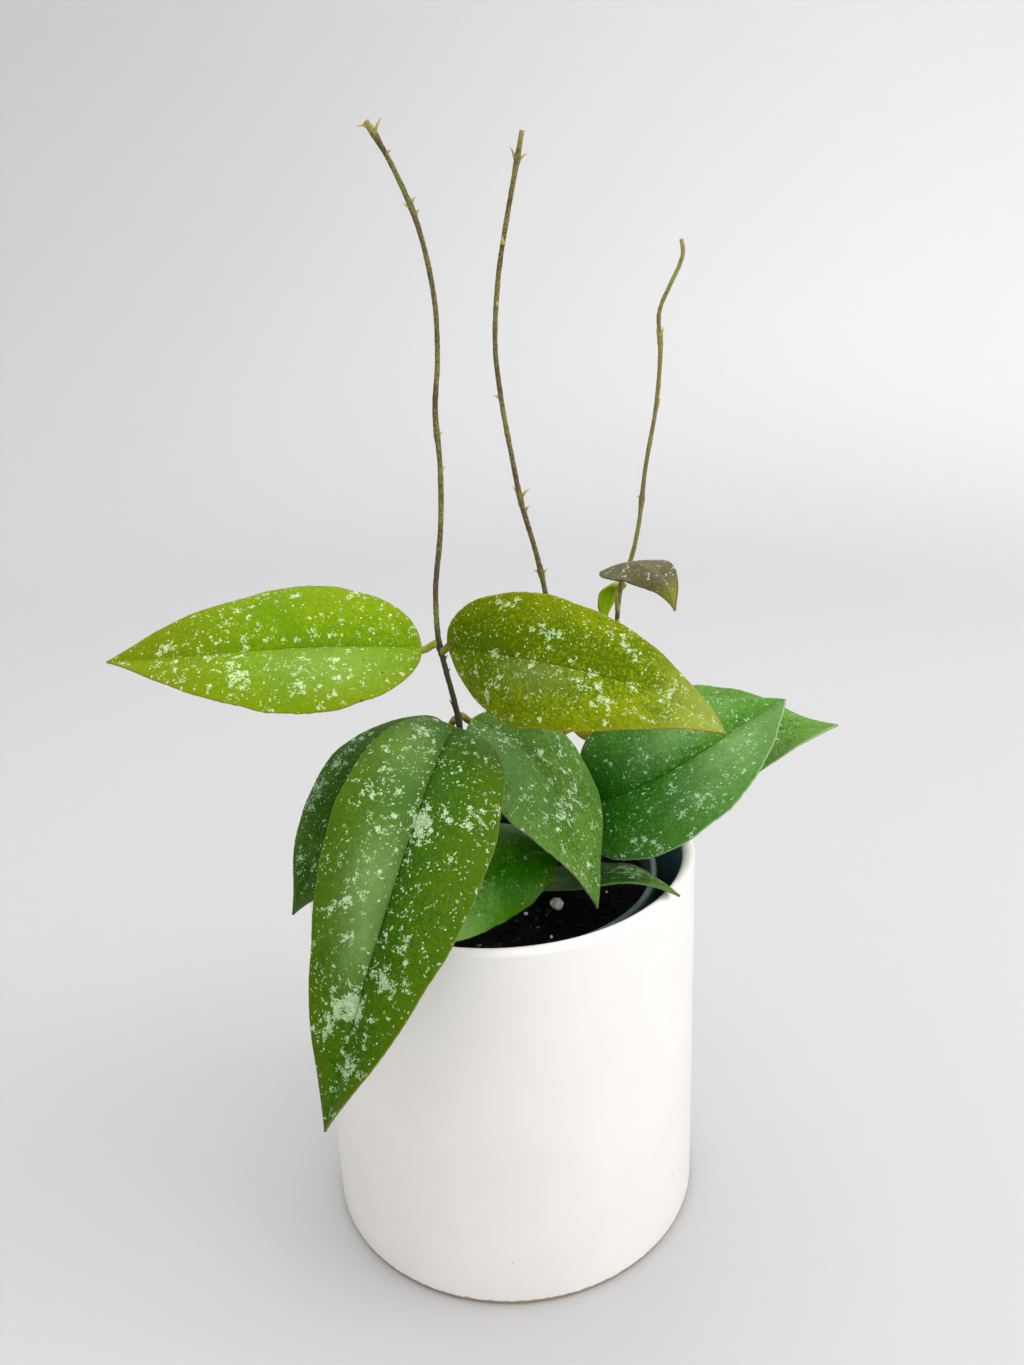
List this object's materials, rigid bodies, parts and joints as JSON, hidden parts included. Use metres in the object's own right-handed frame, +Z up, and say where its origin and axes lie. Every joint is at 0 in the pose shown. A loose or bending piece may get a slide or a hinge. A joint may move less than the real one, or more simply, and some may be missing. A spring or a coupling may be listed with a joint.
{
  "type": "potted climbing vine",
  "caption": "Climbing vine with broad silver-splashed leaves and bare leafless runners, rooted in a nursery pot set inside a plain round glazed pot.",
  "frame": {"origin": "on the cover pot's axis, at the flat underside of its foot", "axes": "+Z up along the pot's axis, +X to the right and +Y away from someone facing the pot's front"},
  "size_m": [0.2281, 0.1568, 0.3495],
  "materials": {
    "cover_glaze": "satin off-white glaze with a few tiny pinholes",
    "nursery_plastic": "thin moulded grey-green plastic, slightly worn",
    "soil_mix": "near-black crumbly potting mix of bark, coir and a few white grains",
    "vine_bark": "olive-brown stem, slightly warty, with green flecks",
    "leaf_bright": "waxy young yellow-green leaf with pale silver splashes",
    "leaf_mature": "waxy stiff green leaf with pale silver splashes",
    "leaf_dark": "dark waxy green leaf with a soft gloss",
    "leaf_bronze": "young grey-bronze leaf with pale streaks",
    "leaf_yellow": "small fading yellow-olive leaf"
  },
  "bodies": {
    "root": {"cover_pot": "cover_glaze", "nursery_pot": "nursery_plastic", "soil": "soil_mix", "vine_left": "vine_bark", "vine_middle": "vine_bark", "vine_right": "vine_bark", "leaf_upper_left": "leaf_bright", "leaf_upper_right": "leaf_mature", "leaf_front_hanging": "leaf_mature", "leaf_left_hanging": "leaf_dark", "leaf_centre": "leaf_mature", "leaf_low_front": "leaf_dark", "leaf_right_broad": "leaf_mature", "leaf_right_rear": "leaf_mature", "leaf_low_right": "leaf_mature", "leaf_bronze": "leaf_bronze", "leaf_young_green": "leaf_bright", "leaf_small_yellow": "leaf_yellow"}
  },
  "joints": []
}
